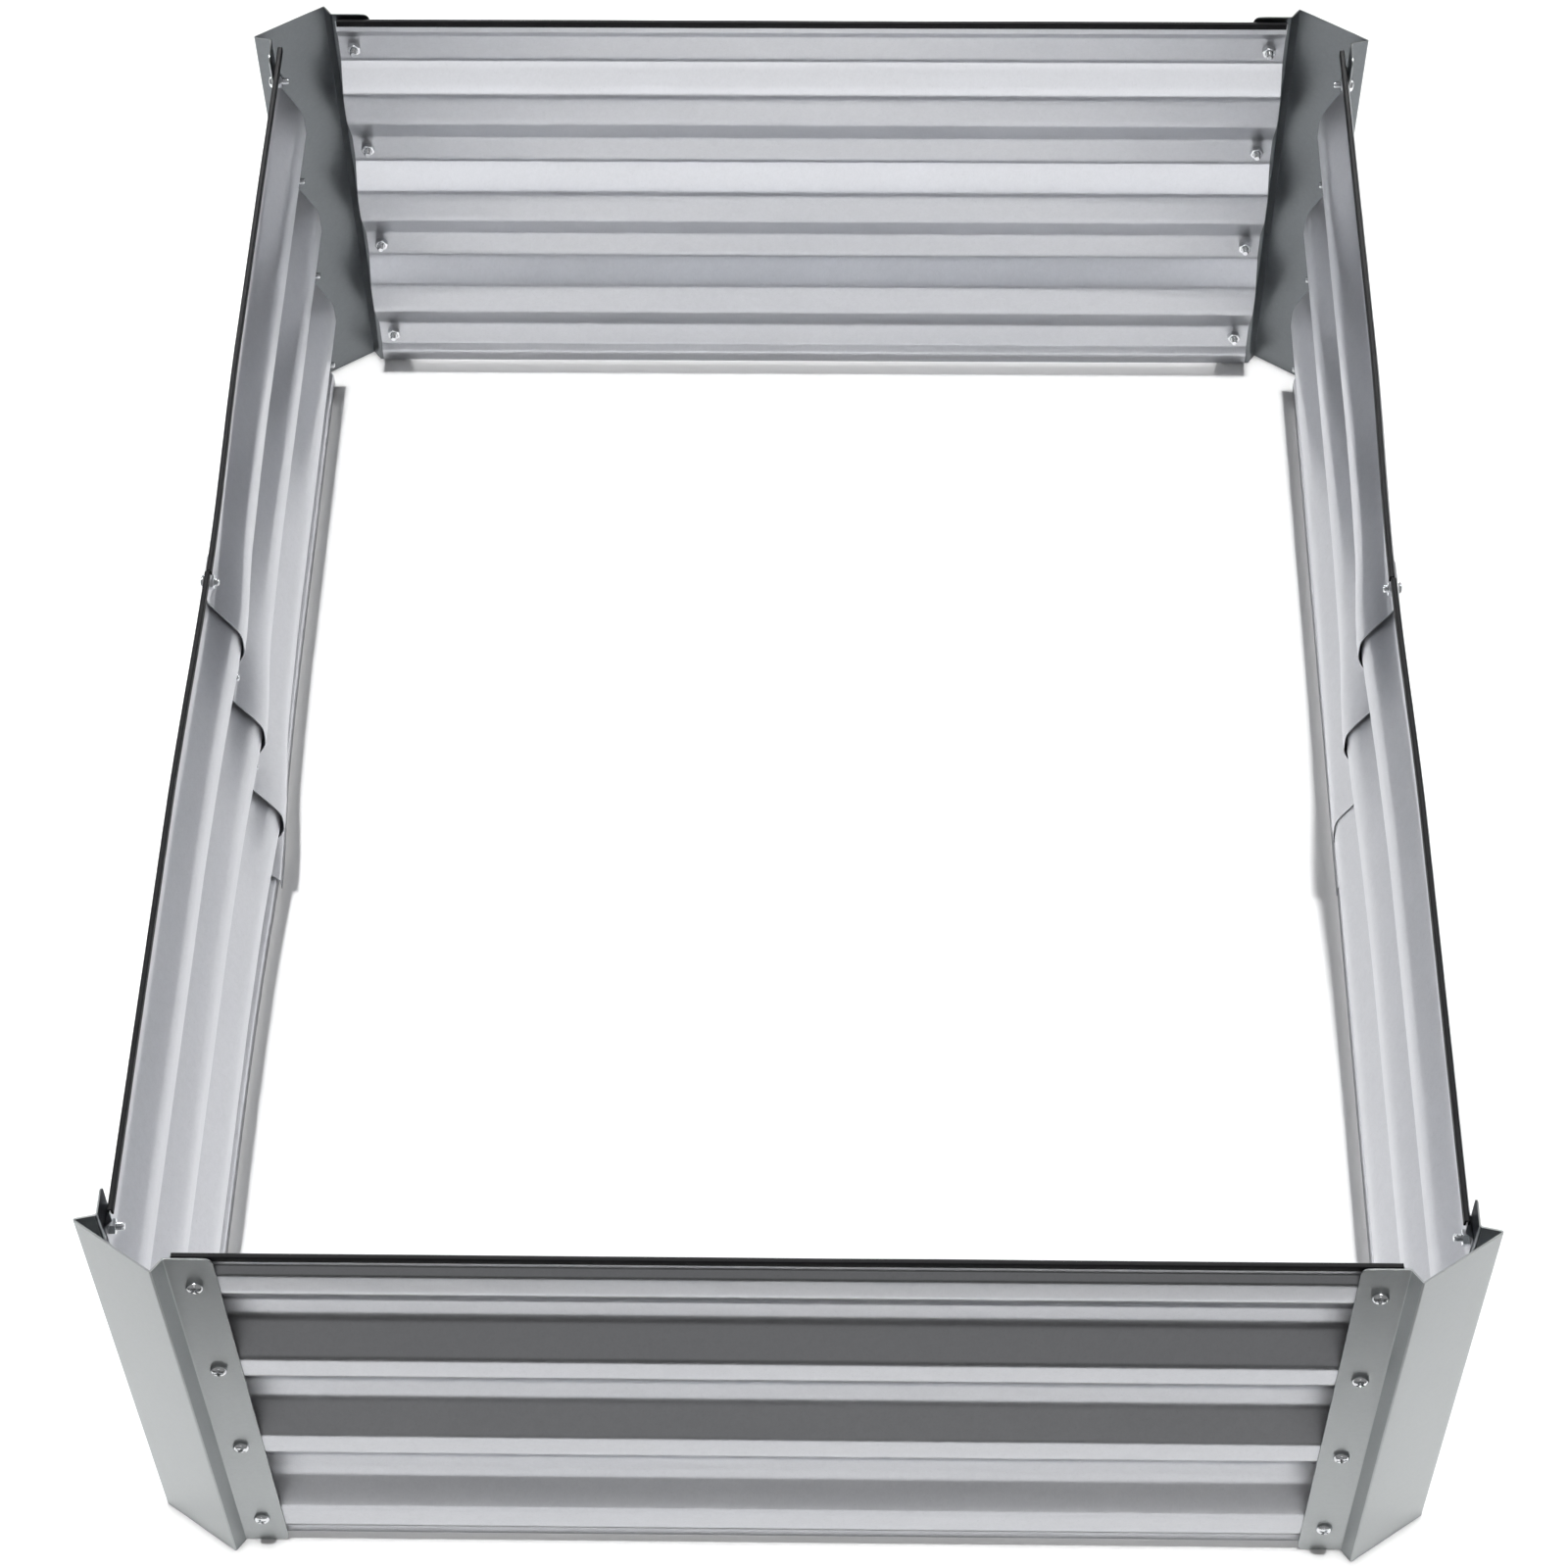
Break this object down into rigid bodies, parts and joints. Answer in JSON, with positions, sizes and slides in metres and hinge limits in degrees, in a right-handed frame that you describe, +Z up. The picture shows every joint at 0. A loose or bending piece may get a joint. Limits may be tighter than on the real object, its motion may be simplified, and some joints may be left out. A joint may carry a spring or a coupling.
{
  "type": "raised garden bed",
  "caption": "Rectangular corrugated galvanised steel raised garden bed, open at top and bottom, bolted at folded corner posts, with rubber edge strips.",
  "frame": {"origin": "on the ground, at the middle of the bed", "axes": "+Z up, +Y towards the back along the length, +X to the right along the width"},
  "size_m": [0.9142, 1.2, 0.405],
  "materials": {
    "corrugated_sheet": "galvanised, satin with faint spangle",
    "corner_zinc": "galvanised, matt grey-green",
    "edge_rubber": "matt black",
    "fastener_zinc": "bright zinc plate"
  },
  "bodies": {
    "root": {"front_panel": "corrugated_sheet", "back_panel": "corrugated_sheet", "left_front_panel": "corrugated_sheet", "left_rear_panel": "corrugated_sheet", "right_front_panel": "corrugated_sheet", "right_rear_panel": "corrugated_sheet", "front_left_post": "corner_zinc", "front_right_post": "corner_zinc", "rear_left_post": "corner_zinc", "rear_right_post": "corner_zinc", "front_edge_strip": "edge_rubber", "back_edge_strip": "edge_rubber", "left_front_edge_strip": "edge_rubber", "left_rear_edge_strip": "edge_rubber", "right_front_edge_strip": "edge_rubber", "right_rear_edge_strip": "edge_rubber", "front_left_bolts": "fastener_zinc", "front_right_bolts": "fastener_zinc", "back_left_bolts": "fastener_zinc", "back_right_bolts": "fastener_zinc", "left_front_bolts": "fastener_zinc", "left_rear_bolts": "fastener_zinc", "right_front_bolts": "fastener_zinc", "right_rear_bolts": "fastener_zinc", "left_lap_bolts": "fastener_zinc", "right_lap_bolts": "fastener_zinc", "front_left_nuts": "fastener_zinc", "front_right_nuts": "fastener_zinc", "back_left_nuts": "fastener_zinc", "back_right_nuts": "fastener_zinc", "left_front_nuts": "fastener_zinc", "left_rear_nuts": "fastener_zinc", "right_front_nuts": "fastener_zinc", "right_rear_nuts": "fastener_zinc", "left_lap_nuts": "fastener_zinc", "right_lap_nuts": "fastener_zinc"}
  },
  "joints": []
}
